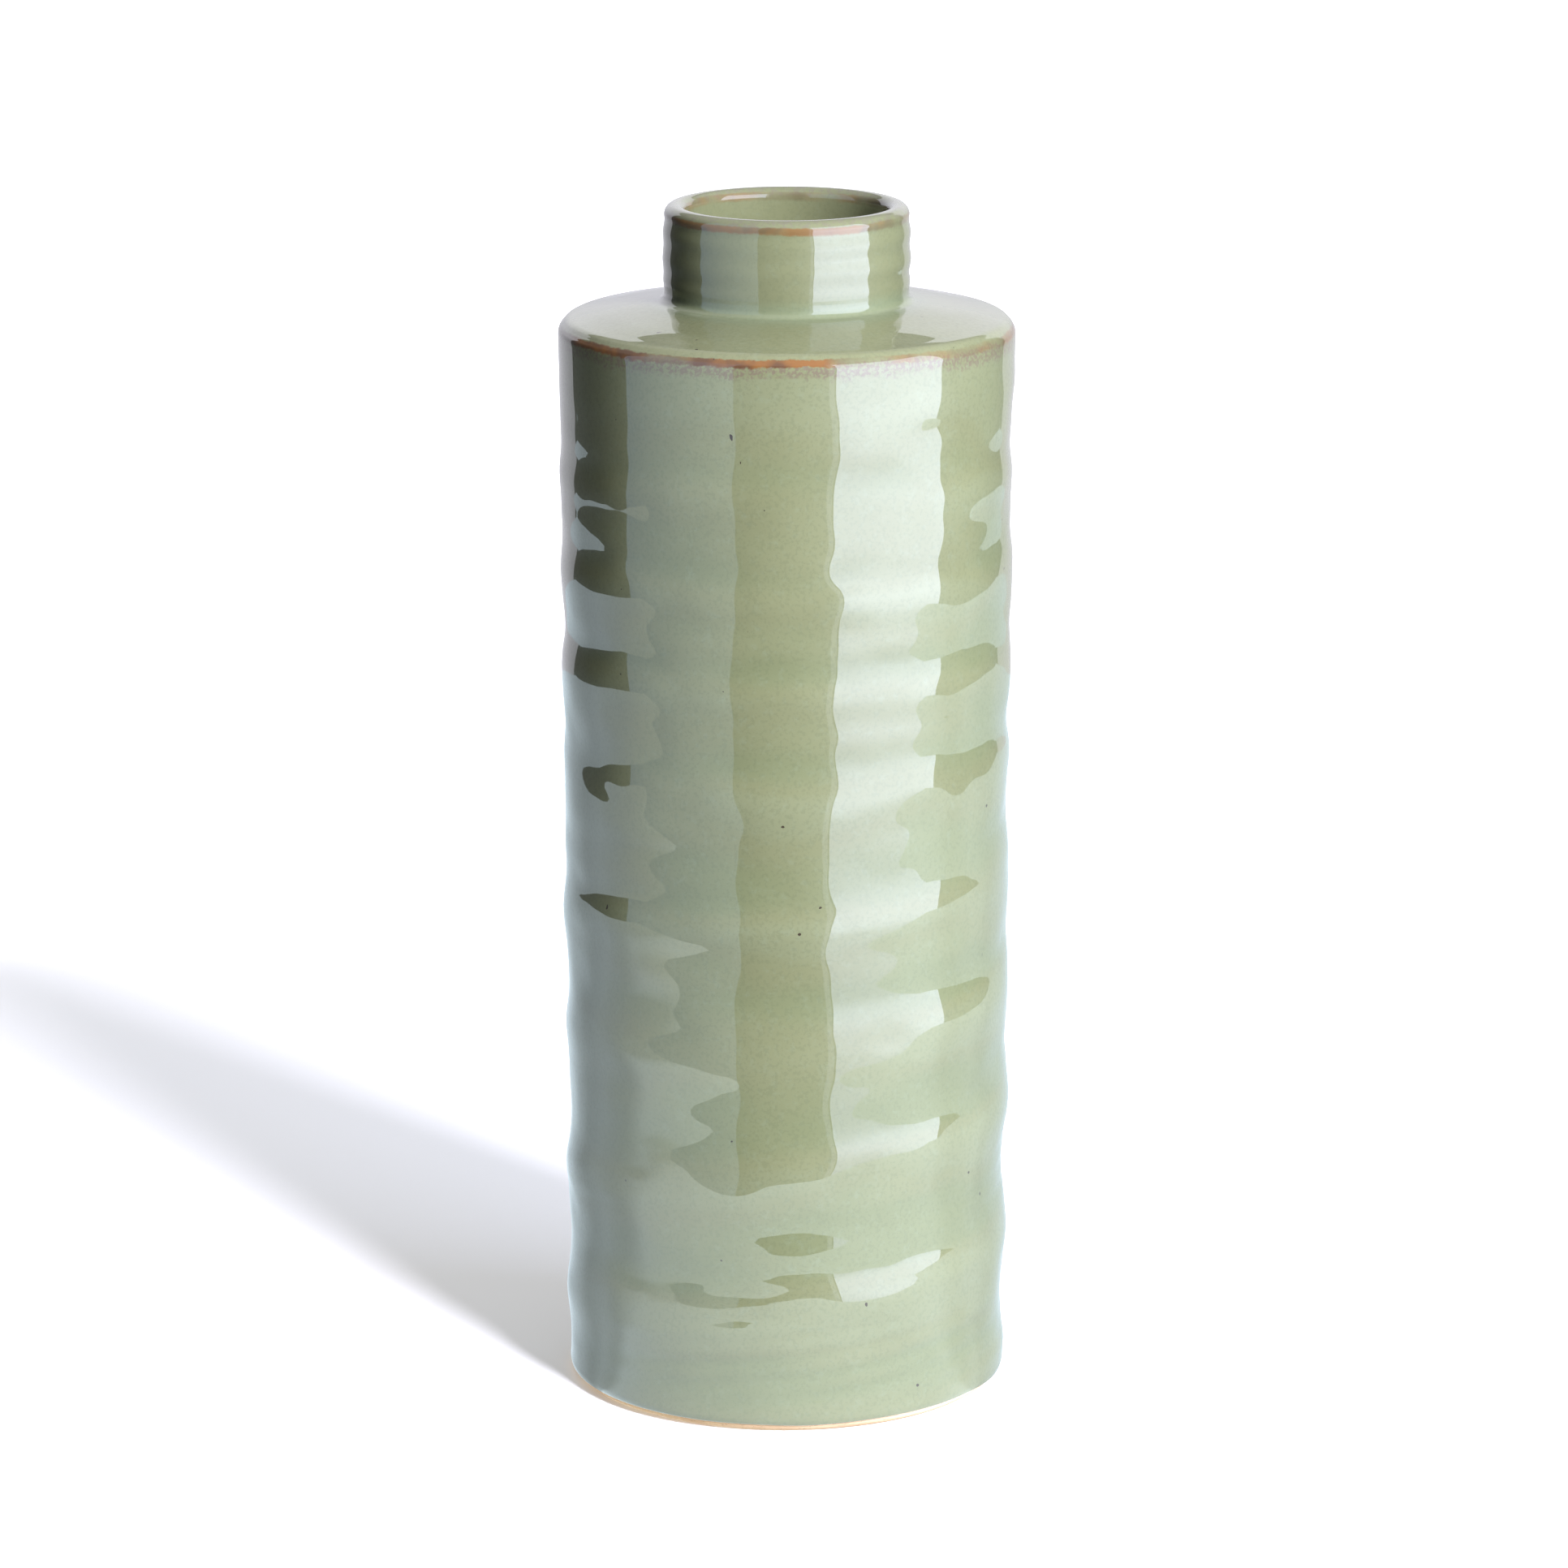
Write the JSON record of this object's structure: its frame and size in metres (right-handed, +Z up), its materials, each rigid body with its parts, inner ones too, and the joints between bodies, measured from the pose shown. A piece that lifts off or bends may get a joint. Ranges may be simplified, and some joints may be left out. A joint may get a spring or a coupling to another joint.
{
  "type": "stoneware bottle vase",
  "caption": "Tall cylindrical stoneware vase with shallow throwing rings, a low conical shoulder and a short straight neck, glazed celadon over bare clay at the foot.",
  "frame": {"origin": "middle of the foot, on the surface the vase stands on", "axes": "+Z up along the vase's axis, towards the mouth; -Y towards the viewer"},
  "size_m": [0.1298, 0.1298, 0.346],
  "materials": {
    "stoneware": "bare fired clay, matt",
    "slip_clay": "bare fired clay, matt",
    "celadon_glaze": "glossy grey-green glaze that breaks rust where it is thin",
    "liner_glaze": "glossy olive-green glaze"
  },
  "bodies": {
    "root": {"floor_slab": "stoneware", "thrown_wall": "stoneware", "shoulder_disc": "stoneware", "neck_collar": "stoneware", "floor_coil": "slip_clay", "shoulder_coil": "slip_clay", "neck_fillet": "slip_clay", "outer_glaze": "celadon_glaze", "liner_glaze": "liner_glaze"}
  },
  "joints": []
}
